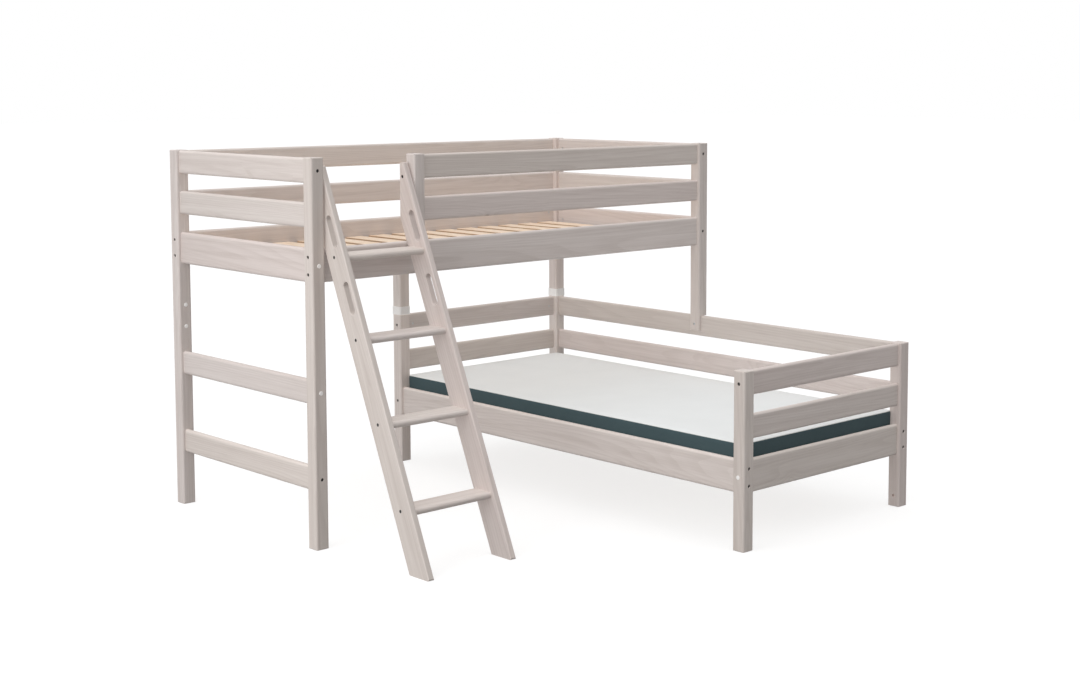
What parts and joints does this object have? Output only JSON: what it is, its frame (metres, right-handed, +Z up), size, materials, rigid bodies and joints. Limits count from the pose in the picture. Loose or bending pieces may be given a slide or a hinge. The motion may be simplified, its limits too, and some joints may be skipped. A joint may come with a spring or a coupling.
{
  "type": "l shaped bunk bed",
  "caption": "Raised bed with guard rails and a leaning ladder, standing at one end on a lower bed set at right angles to it, with a mattress on the lower bed.",
  "frame": {"origin": "on the floor, below the middle of the whole bed", "axes": "+X along the raised bed towards the lower bed, +Y to the back where the two beds share a wall, +Z up"},
  "size_m": [2.103, 2.103, 1.437],
  "materials": {
    "washed_wood": "satin",
    "slat_wood": "matte",
    "dowel_wood": "matte",
    "mattress_cover": "matte",
    "mattress_border": "matte",
    "clear_plastic": "gloss",
    "white_plastic": "satin",
    "steel": "satin"
  },
  "bodies": {
    "bed": {"post_rear_left": "washed_wood", "post_front_left": "washed_wood", "post_rear_right": "washed_wood", "post_front_right": "washed_wood", "post_support": "washed_wood", "guard_post": "washed_wood", "lower_post_foot_near": "washed_wood", "lower_post_foot_far": "washed_wood", "lower_post_head_near": "washed_wood", "lower_post_head_far": "washed_wood", "front_side_board": "washed_wood", "guard_top_rail": "washed_wood", "guard_mid_rail": "washed_wood", "rear_side_board": "washed_wood", "rear_top_rail": "washed_wood", "rear_mid_rail": "washed_wood", "left_end_board": "washed_wood", "left_end_top_rail": "washed_wood", "left_end_mid_rail": "washed_wood", "left_leg_rail_high": "washed_wood", "left_leg_rail_low": "washed_wood", "right_end_board": "washed_wood", "right_end_top_rail": "washed_wood", "right_end_mid_rail": "washed_wood", "foot_board": "washed_wood", "foot_top_rail": "washed_wood", "foot_mid_rail": "washed_wood", "head_board": "washed_wood", "head_top_rail": "washed_wood", "head_mid_rail": "washed_wood", "far_side_board": "washed_wood", "far_top_rail": "washed_wood", "far_mid_rail": "washed_wood", "near_side_board": "washed_wood", "upper_ledgers": "washed_wood", "lower_ledgers": "washed_wood", "ladder_stile_left": "washed_wood", "ladder_stile_right": "washed_wood", "ladder_tread_1": "washed_wood", "ladder_tread_2": "washed_wood", "ladder_tread_3": "washed_wood", "ladder_tread_4": "washed_wood", "upper_slats": "slat_wood", "lower_slats": "slat_wood", "post_collars": "clear_plastic", "collar_studs": "steel", "ladder_bolts": "steel", "ladder_spacers": "white_plastic", "ladder_screws": "steel", "ladder_dowels": "dowel_wood", "frame_bolts": "steel", "barrel_nuts": "steel", "bolt_caps": "white_plastic", "lap_bolts": "steel", "lap_inserts": "steel", "rail_dowels": "dowel_wood", "slat_screws": "steel", "ledger_screws": "steel"},
    "mattress": {"mattress": "mattress_cover"}
  },
  "joints": [
    {"name": "mattress_lift", "type": "slide", "parent": "bed", "child": "mattress", "axis": [0, 0, 1], "range_m": [0, 0.18]}
  ]
}
